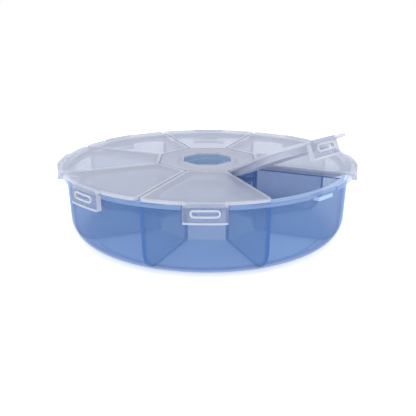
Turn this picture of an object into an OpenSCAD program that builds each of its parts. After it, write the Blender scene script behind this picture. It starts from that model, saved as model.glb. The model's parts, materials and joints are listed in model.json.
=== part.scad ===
// Travel pill organizer: a round tray with eight compartments, closed by one moulded lid.
// The lid is a hub that snaps onto the tray, with eight flaps and eight latches on living hinges.
// Z is up, the base rests on z = 0 and the tray's axis is the Z axis. Flap 1 faces -Y,
// and the flaps are numbered anticlockwise seen from above. Millimetres and degrees.

/* [Tray] */
// Outer radius of the tray wall at the rim
tray_r = 48.7; // [40:0.1:60]
// Height from the base to the top of the closed lid
case_h = 24.8; // [20:0.1:34]
// Thickness of the wall and of the floor
wall_t = 1; // [0.8:0.05:1.4]
// Draft of the wall, in degrees
wall_draft = 2.4; // [0:0.1:4]
// Outer radius of the rounding between the wall and the base
base_fillet = 7.3; // [5:0.1:9]
// How far the rim flange stands out from the wall
flange_w = 2; // [1.6:0.05:3]
// Thickness of the rim flange
flange_t = 1.3; // [0.9:0.05:2]

/* [Dividers and hub] */
// Thickness of the dividers
divider_t = 1.3; // [0.8:0.05:1.6]
// Drop from the rim down to the top of the dividers
divider_drop = 1.05; // [0.6:0.05:2]
// Radius across the corners of the tray's eight-sided hub wall
hub_wall_r = 18.7; // [18:0.1:24]
// Radius across the corners of the well in the middle
well_r = 9; // [7:0.1:10]
// Depth of the hub's deck below the rim
deck_drop = 4; // [3.5:0.1:7]
// Width of the ledge inside the well
well_ledge = 0.45; // [0.3:0.05:0.8]
// Depth of the ledge below the rim
well_ledge_drop = 1.2; // [0.8:0.05:2]

/* [Lid] */
// Thickness of the hub plate and of the flaps
lid_t = 0.9; // [0.7:0.05:1.3]
// Radius across the corners of the eight hinge lines
hinge_line_r = 17.6; // [16.5:0.1:17.8]
// How far a flap's rim stays inside the flange's edge
flap_inset = 0.15; // [0.1:0.05:2.2]
// Radius of a flap's outer corners
flap_corner_r = 1.8; // [1:0.1:3]
// Depth of the rib under a flap that plugs its compartment
plug_h = 1.8; // [1.2:0.1:4]
// Thickness of the plug ribs and of the hub's skirt
rib_t = 0.9; // [0.7:0.05:1.2]
// Radius of a plug rib's outer corners
rib_corner_r = 6; // [2:0.5:8]
// How far flap 2 stands open, in degrees
open_angle = 25; // [0:1:60]

/* [Living hinges] */
// Thickness of the hinge films
film_t = 0.35; // [0.25:0.05:0.5]
// Width of the film between the hub and a flap
flap_film_w = 0.6; // [0.5:0.05:0.9]
// Height of the film between a flap and its latch
latch_film_h = 1.1; // [1.1:0.05:1.5]
// Radius of the middle of a latch's film where it turns down
latch_bend_r = 0.5; // [0.4:0.05:0.6]

/* [Latches] */
// Width of a latch
latch_w = 12.8; // [10:0.1:16]
// Height of a latch, from the lid's top to its lower edge
latch_h = 6; // [5:0.1:7]
// Thickness of a latch's face
latch_t = 1; // [0.8:0.05:1.2]
// Depth of a latch's side cheeks, from its outer face inwards
cheek_depth = 2; // [1.8:0.05:2.1]
// Depth of a latch's hinge axis behind its outer face
latch_axis_in = 0.3; // [0.2:0.05:0.5]
// Thickness of the side cheeks
cheek_t = 1; // [0.7:0.05:1.3]
// Length of the slot in a latch
slot_l = 7.5; // [6:0.1:8]
// Height of the slot
slot_h = 1.3; // [1:0.05:1.6]
// Depth of the slot's middle below the lid's top
slot_drop = 2.8; // [2.4:0.05:3.2]
// Width of the bead around the slot
bead_w = 0.6; // [0.4:0.05:0.8]
// How far the bead and the lower lip stand out
bead_h = 0.25; // [0.15:0.05:0.4]
// Height of the lip along the latch's lower edge
lip_h = 0.6; // [0.4:0.05:1]

/* [Clearances] */
// Gap between the lid and the tray's rim
seat_gap = 0.1; // [0.05:0.05:0.3]
// Gap between two neighbouring flaps
seam_gap = 0.5; // [0.3:0.05:0.8]
// Gap between the plug ribs and the tray's walls
plug_gap = 0.45; // [0.3:0.05:0.8]
// Gap between the plug ribs and the dividers
plug_side_gap = 0.85; // [0.5:0.05:1.5]
// Gap between a latch's face and the flange
latch_gap = 0.25; // [0.2:0.05:0.5]
// Gap between a lug's nose and a latch's face
lug_gap = 0.1; // [0.08:0.01:0.2]
// Gap between a latch and the edges of its notch in the flange
notch_gap = 0.3; // [0.25:0.05:0.5]

/* [Hidden] */

cell_count = 8;
pitch = 360 / cell_count;
half_pitch = pitch / 2;
front = -90;
open_flap = 2;
cut = 1; // how far a cutting solid runs past the face that it opens
facets = 180; // sides of the round curves
corner_steps = 4; // straight steps in a flap's corner
rim_steps = 16; // straight steps along a flap's rim
fillet_steps = 10; // steps in the base rounding
bend_steps = 6; // steps in a bent film
slot_facets = 24; // sides of a slot's round ends

// Levels
lid_under_z = case_h - lid_t;
rim_z = lid_under_z - seat_gap;
flange_z = rim_z - flange_t;
divider_z = rim_z - divider_drop;
deck_z = rim_z - deck_drop;
axis_z = case_h - film_t / 2;

// Radii and distances from the axis
flange_r = tray_r + flange_w;
latch_in_r = flange_r + latch_gap;
latch_out_r = latch_in_r + latch_t;
flap_r = flange_r - flap_inset;
flap_axis_x = hinge_line_r * cos(half_pitch);
flap_root_x = flap_axis_x + flap_film_w / 2;
latch_axis_x = latch_out_r - latch_axis_in;
tab_x = latch_axis_x - latch_bend_r;
cheek_x = latch_out_r - cheek_depth;
notch_x = cheek_x - notch_gap;
hub_out_x = hub_wall_r * cos(half_pitch);
skirt_in_r = well_r + wall_t + plug_gap;
lug_l = slot_l - 2 * notch_gap;
lug_x = sqrt(pow(latch_in_r - lug_gap, 2) - pow(lug_l / 2, 2));

// Horizontal centre of the base rounding, which makes the drafted wall meet the rim at tray_r
fillet_x = tray_r - base_fillet * cos(wall_draft)
    - (rim_z - base_fillet + base_fillet * sin(wall_draft)) * tan(wall_draft);

// The wall's inner radius at the height that the plug ribs reach down to
plug_z = lid_under_z - plug_h;
plug_r = shell_x(wall_t, plug_z) - plug_gap;

function arc(x, y, r, from, to, steps) =
    [for (i = [0:steps]) let (t = from + (to - from) * i / steps) [x + r * cos(t), y + r * sin(t)]];

function mirrored(points) = [for (i = [len(points) - 1:-1:0]) [points[i][0], -points[i][1]]];

// Radius of the shell's surface at a height on the wall, a depth under its outer face
function shell_x(depth, z) =
    fillet_x + (base_fillet - depth) * cos(wall_draft)
    + (z - base_fillet + (base_fillet - depth) * sin(wall_draft)) * tan(wall_draft);

// Half section of the shell's surface, a depth under its outer face, closed along the axis
function shell_section(depth, top) = concat(
    [[0, depth]],
    arc(fillet_x, base_fillet, base_fillet - depth, -90, -wall_draft, fillet_steps),
    [[shell_x(depth, top), top], [0, top]]
);

// Outline of a sector with rounded outer corners: outer radius, set-back from both seams,
// distance of the straight root edge from the axis, and corner radius
function sector(r, inset, root, corner) =
    let (
        v = inset + corner,
        u = sqrt(pow(r - corner, 2) - v * v),
        x = u * cos(half_pitch) + v * sin(half_pitch),
        y = u * sin(half_pitch) - v * cos(half_pitch),
        turn = atan2(y, x),
        root_y = root * tan(half_pitch) - inset / cos(half_pitch),
        upper = concat([[root, root_y]], arc(x, y, corner, half_pitch + 90, turn, corner_steps))
    )
    concat(upper, arc(0, 0, r, turn, -turn, rim_steps), mirrored(upper));

// Section of a film that turns up or down by bend degrees about an axis at the origin:
// it starts at -before, turns along an arc and runs straight to the distance after
function film_section(before, after, bend) =
    let (
        r = before / tan(abs(bend) / 2),
        way = sign(bend),
        outer = [for (i = [0:bend_steps]) let (t = abs(bend) * i / bend_steps)
            [-before + (r + film_t / 2) * sin(t), way * (r - (r + film_t / 2) * cos(t))]],
        inner = [for (i = [bend_steps:-1:0]) let (t = abs(bend) * i / bend_steps)
            [-before + (r - film_t / 2) * sin(t), way * (r - (r - film_t / 2) * cos(t))]],
        end = [after * cos(bend), after * sin(bend)],
        side = [film_t / 2 * sin(bend), -film_t / 2 * cos(bend)] * way
    )
    concat(outer, [end + side, end - side], inner);

function flat_film_section(before, after) =
    [[-before, -film_t / 2], [after, -film_t / 2], [after, film_t / 2], [-before, film_t / 2]];

function flap_direction(i) = front + pitch * (i - 1);
function flap_lift(i) = i == open_flap ? open_angle : 0;

module octagon(r) {
    rotate(half_pitch) circle(r = r, $fn = cell_count);
}

// Carries what lies along +X in the closed lid to flap i, at the angle that it stands open
module at_flap(i) {
    rotate(flap_direction(i))
        translate([flap_axis_x, 0, axis_z])
            rotate([0, -flap_lift(i), 0])
                translate([-flap_axis_x, 0, -axis_z])
                    children();
}

// A section in X and Z, drawn out along Y to the given width
module across(width) {
    translate([0, width / 2, 0]) rotate([90, 0, 0]) linear_extrude(width) children();
}

module tube(outer, inner, low, high) {
    difference() {
        translate([0, 0, low]) cylinder(r = outer, h = high - low, $fn = facets);
        translate([0, 0, low - cut]) cylinder(r = inner, h = high - low + 2 * cut, $fn = facets);
    }
}

module octagon_tube(outer, inner, low, high) {
    translate([0, 0, low]) linear_extrude(high - low) difference() {
        octagon(outer);
        octagon(inner);
    }
}

// Tray: one moulding, as eight bays, the dividers between them, the hub's wall and the well.
// They meet face to face.

module bowl() {
    difference() {
        rotate_extrude($fn = facets) polygon(shell_section(0, rim_z));
        rotate_extrude($fn = facets) polygon(shell_section(wall_t, rim_z + cut));
    }
}

module flange() {
    difference() {
        tube(flange_r, tray_r - wall_t / 2, flange_z, rim_z);
        translate([notch_x, -latch_w / 2 - notch_gap, flange_z - cut])
            cube([flange_w + cut, latch_w + 2 * notch_gap, flange_t + 2 * cut]);
    }
}

module lug() {
    translate([tray_r - wall_t, -lug_l / 2, case_h - slot_drop - slot_h / 2])
        cube([lug_x - tray_r + wall_t, lug_l, slot_h]);
}

// The eighth of the plane that lies along +X
module wedge() {
    reach = 2 * tray_r;
    polygon([[0, 0], [reach, -reach * tan(half_pitch)], [reach, reach * tan(half_pitch)]]);
}

// One compartment's floor, wall, flange and lug
module tray_bay(i) {
    color("cornflowerblue", 0.7) rotate(flap_direction(i)) intersection() {
        translate([0, 0, -cut]) linear_extrude(case_h + cut) difference() {
            wedge();
            octagon(hub_wall_r);
        }
        union() {
            bowl();
            flange();
            lug();
        }
    }
}

// The divider between the bays i and i + 1
module divider(i) {
    color("cornflowerblue", 0.7) rotate(flap_direction(i) + half_pitch) intersection() {
        rotate_extrude($fn = facets) polygon(shell_section(wall_t, divider_z));
        linear_extrude(case_h) difference() {
            translate([hub_out_x, -divider_t / 2]) square([tray_r, divider_t]);
            rotate(half_pitch) octagon(hub_wall_r);
        }
    }
}

// The hub is hollow and open below
module tray_hub() {
    color("cornflowerblue", 0.7) octagon_tube(hub_wall_r, hub_wall_r - wall_t, 0, rim_z);
}

// The deck inside the hub, and the wall and ledge of the well in the middle of it
module tray_well() {
    color("cornflowerblue", 0.7) {
        octagon_tube(hub_wall_r - wall_t, well_r - well_ledge, deck_z - wall_t, deck_z);
        octagon_tube(well_r + wall_t, well_r - well_ledge, deck_z, rim_z - well_ledge_drop);
        octagon_tube(well_r + wall_t, well_r, rim_z - well_ledge_drop, rim_z);
    }
}

// Lid

module lid_hub() {
    plate_r = (flap_axis_x - flap_film_w / 2) / cos(half_pitch);
    color("lavender", 0.8) {
        octagon_tube(plate_r, well_r, lid_under_z, case_h);
        octagon_tube(skirt_in_r + rib_t, skirt_in_r, deck_z + notch_gap, lid_under_z);
    }
}

module plug_rib() {
    inset = divider_t / 2 + plug_side_gap;
    root = hub_out_x + plug_gap;
    translate([0, 0, plug_z]) linear_extrude(plug_h) difference() {
        polygon(sector(plug_r, inset, root, rib_corner_r));
        polygon(sector(plug_r - rib_t, inset + rib_t, root + rib_t, rib_corner_r - rib_t));
    }
}

module flap(i) {
    color("lavender", 0.8) at_flap(i) {
        translate([0, 0, lid_under_z]) linear_extrude(lid_t) {
            polygon(sector(flap_r, seam_gap / 2, flap_root_x, flap_corner_r));
            translate([flap_r - lid_t, -latch_w / 2]) square([tab_x - flap_r + lid_t, latch_w]);
        }
        plug_rib();
    }
}

module slot_outline(grow) {
    r = slot_h / 2 + grow;
    reach = slot_l / 2 - slot_h / 2;
    for (side = [-1, 1]) translate([side * reach, 0]) circle(r = r, $fn = slot_facets);
    square([2 * reach, 2 * r], center = true);
}

// The slot's outline, drawn out along X through a latch's face
module slot_prism(grow) {
    translate([latch_in_r - cut, 0, case_h - slot_drop])
        rotate([90, 0, 90]) linear_extrude(latch_t + 2 * cut) slot_outline(grow);
}

module latch(i) {
    low = case_h - latch_h;
    top = case_h - latch_film_h;
    color("lavender", 0.8) at_flap(i) difference() {
        union() {
            intersection() {
                union() {
                    tube(latch_out_r, latch_in_r, low, top);
                    tube(latch_out_r + bead_h, latch_out_r - cut / 2, low, low + lip_h);
                }
                translate([0, -latch_w / 2, 0]) cube([2 * tray_r, latch_w, case_h]);
            }
            intersection() {
                tube(latch_out_r + bead_h, latch_out_r - cut / 2, low, top);
                slot_prism(bead_w);
            }
            for (side = [-1, 1])
                translate([cheek_x, side * (latch_w - cheek_t) / 2 - cheek_t / 2, low])
                    cube([cheek_depth - latch_t / 2, cheek_t, latch_h - lid_t - notch_gap]);
        }
        slot_prism(0);
    }
}

module flap_hinge(i) {
    reach = flap_film_w / 2;
    film_l = 2 * (flap_axis_x - flap_film_w) * tan(half_pitch) - seam_gap;
    lift = flap_lift(i);
    color("white", 0.8) rotate(flap_direction(i)) translate([flap_axis_x, 0, axis_z]) across(film_l)
        polygon(lift > 0 ? film_section(reach, reach, lift) : flat_film_section(reach, reach));
}

module latch_hinge(i) {
    film_l = latch_w - 2 * cheek_t;
    color("white", 0.8) at_flap(i) translate([latch_axis_x, 0, axis_z]) across(film_l)
        polygon(film_section(latch_bend_r, latch_film_h - film_t / 2, -90));
}

tray_hub();
tray_well();
tray_bay(1);  // tray_bay_1
tray_bay(2);  // tray_bay_2
tray_bay(3);  // tray_bay_3
tray_bay(4);  // tray_bay_4
tray_bay(5);  // tray_bay_5
tray_bay(6);  // tray_bay_6
tray_bay(7);  // tray_bay_7
tray_bay(8);  // tray_bay_8
divider(1);  // divider_1
divider(2);  // divider_2
divider(3);  // divider_3
divider(4);  // divider_4
divider(5);  // divider_5
divider(6);  // divider_6
divider(7);  // divider_7
divider(8);  // divider_8
lid_hub();
flap(1);  // flap_1
flap(2);  // flap_2
flap(3);  // flap_3
flap(4);  // flap_4
flap(5);  // flap_5
flap(6);  // flap_6
flap(7);  // flap_7
flap(8);  // flap_8
latch(1);  // latch_1
latch(2);  // latch_2
latch(3);  // latch_3
latch(4);  // latch_4
latch(5);  // latch_5
latch(6);  // latch_6
latch(7);  // latch_7
latch(8);  // latch_8
flap_hinge(1);  // flap_hinge_1
flap_hinge(2);  // flap_hinge_2
flap_hinge(3);  // flap_hinge_3
flap_hinge(4);  // flap_hinge_4
flap_hinge(5);  // flap_hinge_5
flap_hinge(6);  // flap_hinge_6
flap_hinge(7);  // flap_hinge_7
flap_hinge(8);  // flap_hinge_8
latch_hinge(1);  // latch_hinge_1
latch_hinge(2);  // latch_hinge_2
latch_hinge(3);  // latch_hinge_3
latch_hinge(4);  // latch_hinge_4
latch_hinge(5);  // latch_hinge_5
latch_hinge(6);  // latch_hinge_6
latch_hinge(7);  // latch_hinge_7
latch_hinge(8);  // latch_hinge_8
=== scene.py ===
"""Looks of a round travel pill organizer: a blue tray of eight bays under a frosted lid of hinged flaps.

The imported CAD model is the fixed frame. Each moulding is built here as a finished mesh in the same
frame: along +X and in millimetres first, and then carried to its place in metres. Flap 1 faces -Y
and the flaps are numbered anticlockwise seen from above.
"""

import sys

import json
import logging
import math
from dataclasses import dataclass
from enum import Enum
from typing import Callable, Iterable, Sequence

import bmesh
import bpy
from mathutils import Matrix, Vector

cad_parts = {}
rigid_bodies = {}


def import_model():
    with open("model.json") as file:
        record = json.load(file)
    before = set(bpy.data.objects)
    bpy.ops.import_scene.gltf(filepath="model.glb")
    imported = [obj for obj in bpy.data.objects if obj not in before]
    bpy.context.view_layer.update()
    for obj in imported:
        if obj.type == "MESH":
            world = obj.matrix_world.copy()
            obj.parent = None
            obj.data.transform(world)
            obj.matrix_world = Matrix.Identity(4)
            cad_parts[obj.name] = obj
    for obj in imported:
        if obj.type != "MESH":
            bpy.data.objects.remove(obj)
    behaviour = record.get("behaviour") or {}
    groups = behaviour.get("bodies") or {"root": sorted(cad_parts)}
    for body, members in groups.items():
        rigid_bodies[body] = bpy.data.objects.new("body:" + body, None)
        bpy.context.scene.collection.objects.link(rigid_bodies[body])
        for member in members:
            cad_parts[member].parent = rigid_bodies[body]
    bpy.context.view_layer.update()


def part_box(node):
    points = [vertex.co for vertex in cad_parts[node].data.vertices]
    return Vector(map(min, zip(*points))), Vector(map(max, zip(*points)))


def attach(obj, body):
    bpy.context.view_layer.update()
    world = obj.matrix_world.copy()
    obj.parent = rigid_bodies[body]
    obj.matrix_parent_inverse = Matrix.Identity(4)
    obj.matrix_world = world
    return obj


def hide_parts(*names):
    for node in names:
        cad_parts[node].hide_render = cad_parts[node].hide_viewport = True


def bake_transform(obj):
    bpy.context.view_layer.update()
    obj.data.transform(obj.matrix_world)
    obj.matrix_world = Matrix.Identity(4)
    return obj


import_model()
log = logging.getLogger("pill_organizer")

MM = 0.001
HUB_SIDES = 8
CORNER_STEPS = 12
RIM_STEPS = 48
FILLET_STEPS = 16
TURN_STEPS = 192
LATCH_STEPS = 40
SLOT_STEPS = 16
FILM_STEPS = 10
BURIED = 0.3  # how far a solid that is joined to another reaches into it
PAST = 1.0  # how far a cutting solid runs past the face that it opens
CLEAR_R = 54.0  # farther out than the tray
CLEAR_Z = 26.0  # higher than the case
MERGE = 0.002  # points closer than this are one
FLAT_TURN = 0.4  # faces that turn by less than this many degrees are one
ROUNDED_TURN = 32.0  # edges that turn by more than this many degrees are rounded
ROUND_STEPS = 2
Outline = list[tuple[float, float]]


class Slot(Enum):
    """The record's material slots, one listed with each skin."""

    TRAY = "tray_blue"
    LID = "lid_frosted"
    FILM = "hinge_film"


class Cut(Enum):
    """How a tool solid changes the solid that it is combined with."""

    ADD = "UNION"
    REMOVE = "DIFFERENCE"
    KEEP = "INTERSECT"


# ---------------------------------------------------------------- sizes


@dataclass(frozen=True)
class CaseSizes:
    """Sizes that more than one moulding shares, in millimetres and degrees."""

    cells: int = 8
    case_h: float = 24.8
    lid_t: float = 0.9
    seat_gap: float = 0.1
    film_t: float = 0.35
    hinge_line_r: float = 17.6
    flap_film_w: float = 0.6
    latch_film_h: float = 1.1
    tray_r: float = 48.7
    flange_w: float = 2.0
    latch_gap: float = 0.25
    latch_t: float = 1.0
    latch_axis_in: float = 0.3
    latch_bend_r: float = 0.5
    latch_w: float = 12.8
    cheek_depth: float = 2.0
    cheek_t: float = 1.0
    slot_l: float = 7.5
    slot_h: float = 1.3
    slot_drop: float = 2.8
    notch_gap: float = 0.3
    seam_gap: float = 0.5
    deck_drop: float = 4.0
    rib_t: float = 0.9
    hub_wall_r: float = 18.7
    well_r: float = 9.0
    wall_t: float = 1.0
    plug_gap: float = 0.45
    divider_t: float = 1.3
    open_flap: int = 2
    open_angle: float = 25.0

    @property
    def pitch(self) -> float:
        """Angle from one flap to the next, in degrees."""
        return 360.0 / self.cells

    @property
    def half(self) -> float:
        """Half the pitch, in radians."""
        return math.radians(self.pitch / 2)

    @property
    def lid_under_z(self) -> float:
        """Height of the lid plate's underside."""
        return self.case_h - self.lid_t

    @property
    def rim_z(self) -> float:
        """Height of the tray's rim."""
        return self.lid_under_z - self.seat_gap

    @property
    def deck_z(self) -> float:
        """Height of the deck inside the hub."""
        return self.rim_z - self.deck_drop

    @property
    def slot_z(self) -> float:
        """Height of the middle of the latches' slots."""
        return self.case_h - self.slot_drop

    @property
    def flange_r(self) -> float:
        """Radius of the tray's flange."""
        return self.tray_r + self.flange_w

    @property
    def axis_z(self) -> float:
        """Height of the middle of the hinge films."""
        return self.case_h - self.film_t / 2

    @property
    def flap_axis_x(self) -> float:
        """Distance of a flap's hinge axis from the middle."""
        return self.hinge_line_r * math.cos(self.half)

    @property
    def latch_in_r(self) -> float:
        """Inner radius of a latch's face."""
        return self.flange_r + self.latch_gap

    @property
    def latch_out_r(self) -> float:
        """Outer radius of a latch's face."""
        return self.latch_in_r + self.latch_t

    @property
    def latch_axis_x(self) -> float:
        """Distance of a latch's hinge axis from the middle."""
        return self.latch_out_r - self.latch_axis_in

    @property
    def hub_out_x(self) -> float:
        """Distance of the hub wall's flat outer faces from the middle."""
        return self.hub_wall_r * math.cos(self.half)

    def direction(self, number: int) -> float:
        """Direction of a flap from the middle, in degrees."""
        return -90.0 + self.pitch * (number - 1)

    def lift(self, number: int) -> float:
        """Angle that a flap stands open at rest, in degrees."""
        return self.open_angle if number == self.open_flap else 0.0

    def numbers(self) -> range:
        """The numbers of the flaps."""
        return range(1, self.cells + 1)


# ---------------------------------------------------------------- outlines


def arc(x: float, y: float, r: float, start: float, stop: float, steps: int) -> Outline:
    """Points along an arc.

    Args:
        x, y: The arc's middle.
        r: Its radius.
        start, stop: Its end angles, in degrees.
        steps: How many straight steps it takes.

    Returns:
        The points, both ends included.
    """
    turns = [math.radians(start + (stop - start) * i / steps) for i in range(steps + 1)]
    return [(x + r * math.cos(t), y + r * math.sin(t)) for t in turns]


def octagon(r: float) -> Outline:
    """Corners of an octagon with flat faces along the axes, by the radius across its corners."""
    first = 180.0 / HUB_SIDES
    return arc(0.0, 0.0, r, first, 360.0 - first, HUB_SIDES - 1)


def sector(sizes: CaseSizes, r: float, inset: float, root: float, corner: float,
           tab_x: float = 0.0) -> Outline:
    """Outline of a sector along +X with rounded outer corners.

    Args:
        sizes: The shared sizes.
        r: Outer radius.
        inset: Set-back from both seams.
        root: Distance of the straight inner edge from the middle.
        corner: Radius of the outer corners.
        tab_x: How far the middle of the rim is drawn out as a tab, or 0 for none.

    Returns:
        The closed outline, anticlockwise.
    """
    half = sizes.half
    v = inset + corner
    u = math.sqrt((r - corner) ** 2 - v * v)
    x, y = u * math.cos(half) + v * math.sin(half), u * math.sin(half) - v * math.cos(half)
    turn = math.degrees(math.atan2(y, x))
    root_y = root * math.tan(half) - inset / math.cos(half)
    upper = [(root, root_y)] + arc(x, y, corner, math.degrees(half) + 90, turn, CORNER_STEPS)
    rim = arc(0.0, 0.0, r, turn, -turn, RIM_STEPS)
    if tab_x:
        edge, apart = sizes.latch_w / 2, 0.05
        foot = math.sqrt(r * r - edge * edge)
        tab = [(foot, edge), (tab_x, edge), (tab_x, -edge), (foot, -edge)]
        rim = [p for p in rim if p[1] > edge + apart] + tab + [p for p in rim if p[1] < -edge - apart]
    lower = [(px, -py) for px, py in reversed(upper)]
    whole = upper[:-1] + rim + lower[1:]
    return whole[::-1]


# ---------------------------------------------------------------- solids


def new_object(name: str, verts: Sequence[Sequence[float]],
               faces: Sequence[Sequence[int]]) -> bpy.types.Object:
    """Makes a mesh object with outward normals from points and faces."""
    mesh = bpy.data.meshes.new(name)
    mesh.from_pydata([tuple(v) for v in verts], [], [tuple(f) for f in faces])
    bm = bmesh.new()
    bm.from_mesh(mesh)
    bmesh.ops.recalc_face_normals(bm, faces=bm.faces)
    bm.to_mesh(mesh)
    bm.free()
    obj = bpy.data.objects.new(name, mesh)
    bpy.context.scene.collection.objects.link(obj)
    return obj


def bridged(name: str, near: Sequence[Sequence[float]], far: Sequence[Sequence[float]]) -> bpy.types.Object:
    """Makes a closed solid between two flat ends with as many points each."""
    n = len(near)
    sides = [(i, (i + 1) % n, n + (i + 1) % n, n + i) for i in range(n)]
    return new_object(name, [*near, *far], [list(range(n))[::-1], list(range(n, 2 * n))] + sides)


def prism(name: str, outline: Outline, low: float, high: float) -> bpy.types.Object:
    """Makes a closed upright prism on an outline in X and Y."""
    return bridged(name, [(x, y, low) for x, y in outline], [(x, y, high) for x, y in outline])


def ring_prism(name: str, outer: Outline, inner: Outline, low: float, high: float) -> bpy.types.Object:
    """Makes an upright ring between two outlines with as many points each."""
    n = len(outer)
    verts = [(x, y, z) for z in (low, high) for line in (outer, inner) for x, y in line]
    faces = []
    for i in range(n):
        j = (i + 1) % n
        faces += [(i, j, 2 * n + j, 2 * n + i), (n + j, n + i, 3 * n + i, 3 * n + j),
                  (j, i, n + i, n + j), (2 * n + i, 2 * n + j, 3 * n + j, 3 * n + i)]
    return new_object(name, verts, faces)


def across(name: str, section: Outline, width: float) -> bpy.types.Object:
    """Makes a prism on a section in X and Z, drawn out evenly along Y."""
    return bridged(name, [(x, -width / 2, z) for x, z in section], [(x, width / 2, z) for x, z in section])


def box(name: str, low: Sequence[float], high: Sequence[float]) -> bpy.types.Object:
    """Makes a block between two corners, as a tool for cutting or joining."""
    corners = [(low[0], low[1]), (high[0], low[1]), (high[0], high[1]), (low[0], high[1])]
    return prism(name, corners, low[2], high[2])


def lathe(name: str, section: Outline, start: float = 0.0, stop: float = 360.0,
          steps: int = TURN_STEPS) -> bpy.types.Object:
    """Turns a closed section in X and Z about the Z axis.

    Args:
        name: The object's name.
        section: The section's points, none of them on the axis.
        start, stop: The angles that it is turned between, in degrees.
        steps: How many steps the turn takes.

    Returns:
        A closed solid: a full ring, or a part of one with flat ends.
    """
    full = abs(stop - start) >= 360.0
    rows = steps if full else steps + 1
    n = len(section)
    verts = []
    for i in range(rows):
        t = math.radians(start + (stop - start) * i / steps)
        verts += [(x * math.cos(t), x * math.sin(t), z) for x, z in section]
    faces = []
    for i in range(steps):
        a, b = i * n, ((i + 1) % rows) * n
        faces += [(a + k, a + (k + 1) % n, b + (k + 1) % n, b + k) for k in range(n)]
    if not full:
        faces += [list(range(n)), list(range(steps * n, (steps + 1) * n))[::-1]]
    return new_object(name, verts, faces)


def settled(obj: bpy.types.Object, name: str) -> bpy.types.Object:
    """Replaces an object by a plain mesh of what its modifiers make of it."""
    depsgraph = bpy.context.evaluated_depsgraph_get()
    mesh = bpy.data.meshes.new_from_object(obj.evaluated_get(depsgraph))
    discard(obj)
    mesh.name = name
    result = bpy.data.objects.new(name, mesh)
    bpy.context.scene.collection.objects.link(result)
    return result


def discard(*objects: bpy.types.Object) -> None:
    """Removes helper objects and their meshes."""
    for obj in objects:
        mesh = obj.data
        bpy.data.objects.remove(obj)
        if mesh.users == 0:
            bpy.data.meshes.remove(mesh)


def combined(base: bpy.types.Object, steps: Iterable[tuple[Cut, bpy.types.Object]]) -> bpy.types.Object:
    """Joins tool solids to a solid or cuts them out of it, in order.

    Args:
        base: The solid to start from. It is used up.
        steps: What each tool does, and the tool. The tools are used up.

    Returns:
        The resulting solid.
    """
    steps = list(steps)
    for how, tool in steps:
        modifier = base.modifiers.new(how.name, "BOOLEAN")
        modifier.operation = how.value
        modifier.solver = "MANIFOLD"
        modifier.object = tool
    result = settled(base, base.name)
    discard(*[tool for _, tool in steps])
    return result


def softened(obj: bpy.types.Object, width: float) -> bpy.types.Object:
    """Rounds a moulding's edges, as a mould's radii do, and smooths its curved faces.

    Args:
        obj: The solid, which is used up.
        width: Width of the rounding, in millimetres.

    Returns:
        The finished solid.
    """
    bm = bmesh.new()
    bm.from_mesh(obj.data)
    bmesh.ops.remove_doubles(bm, verts=bm.verts, dist=MERGE)
    bmesh.ops.dissolve_limit(bm, angle_limit=math.radians(FLAT_TURN), verts=bm.verts, edges=bm.edges)
    bm.to_mesh(obj.data)
    bm.free()
    obj.data.shade_smooth()
    bevel = obj.modifiers.new("Mould radius", "BEVEL")
    bevel.width = width
    bevel.segments = ROUND_STEPS
    bevel.limit_method = "ANGLE"
    bevel.angle_limit = math.radians(ROUNDED_TURN)
    bevel.miter_outer = "MITER_ARC"
    bevel.use_clamp_overlap = True
    weighted = obj.modifiers.new("Even faces", "WEIGHTED_NORMAL")
    weighted.weight = 50
    weighted.keep_sharp = True
    return settled(obj, obj.name)


def edged(obj: bpy.types.Object, test: Callable[[Vector, Vector], int]) -> bpy.types.Object:
    """Marks which finish each face of a solid wears.

    Args:
        obj: The solid.
        test: Gives a face's finish by its normal and its middle: 0 for a plain face, and above that for a
            face with light or shade painted on it, such as an edge.

    Returns:
        The same solid, with the finishes in a face attribute of marks.
    """
    marks = obj.data.attributes.new("finish_and_painted_light", "INT", "FACE")
    for face in obj.data.polygons:
        marks.data[face.index].value = int(test(face.normal, face.center))
    return obj


def moulded(obj: bpy.types.Object, width: float, test: Callable[[Vector, Vector], int]) -> bpy.types.Object:
    """Rounds a solid's edges, and then marks its faces by a test."""
    return edged(softened(obj, width), test)


def bordered(obj: bpy.types.Object, top: float, width: float, sink: float) -> bpy.types.Object:
    """Sets off a border round a plate's top, a little proud of its middle, marked 2 among the face marks.

    Args:
        obj: The marked solid.
        top: Height of the plate's top.
        width: Width of the border.
        sink: How far the middle lies under the border.

    Returns:
        The same solid.
    """
    bm = bmesh.new()
    bm.from_mesh(obj.data)
    finish_and_painted_light = bm.faces.layers.int["finish_and_painted_light"]
    middle = max((f for f in bm.faces if f.normal.z > 0.99 and abs(f.calc_center_median().z - top) < 0.01),
                 key=lambda f: f.calc_area())
    for face in bmesh.ops.inset_region(bm, faces=[middle], thickness=width, depth=-sink,
                                       use_even_offset=True)["faces"]:
        face[finish_and_painted_light] = 2
    bm.to_mesh(obj.data)
    bm.free()
    return obj


# ---------------------------------------------------------------- node trees


def add_node(tree: bpy.types.NodeTree, kind: str, links: dict[str | int, object] | None = None,
             **values: object) -> bpy.types.Node:
    """Adds a node to a tree.

    Args:
        tree: The tree.
        kind: The node's type.
        links: Its inputs, each a socket to link or a value to set.
        values: Its properties.

    Returns:
        The node.
    """
    made = tree.nodes.new(kind)
    for key, value in values.items():
        setattr(made, key, value)
    for key, value in (links or {}).items():
        if isinstance(value, bpy.types.NodeSocket):
            tree.links.new(value, made.inputs[key])
        else:
            made.inputs[key].default_value = value
    return made


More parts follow.
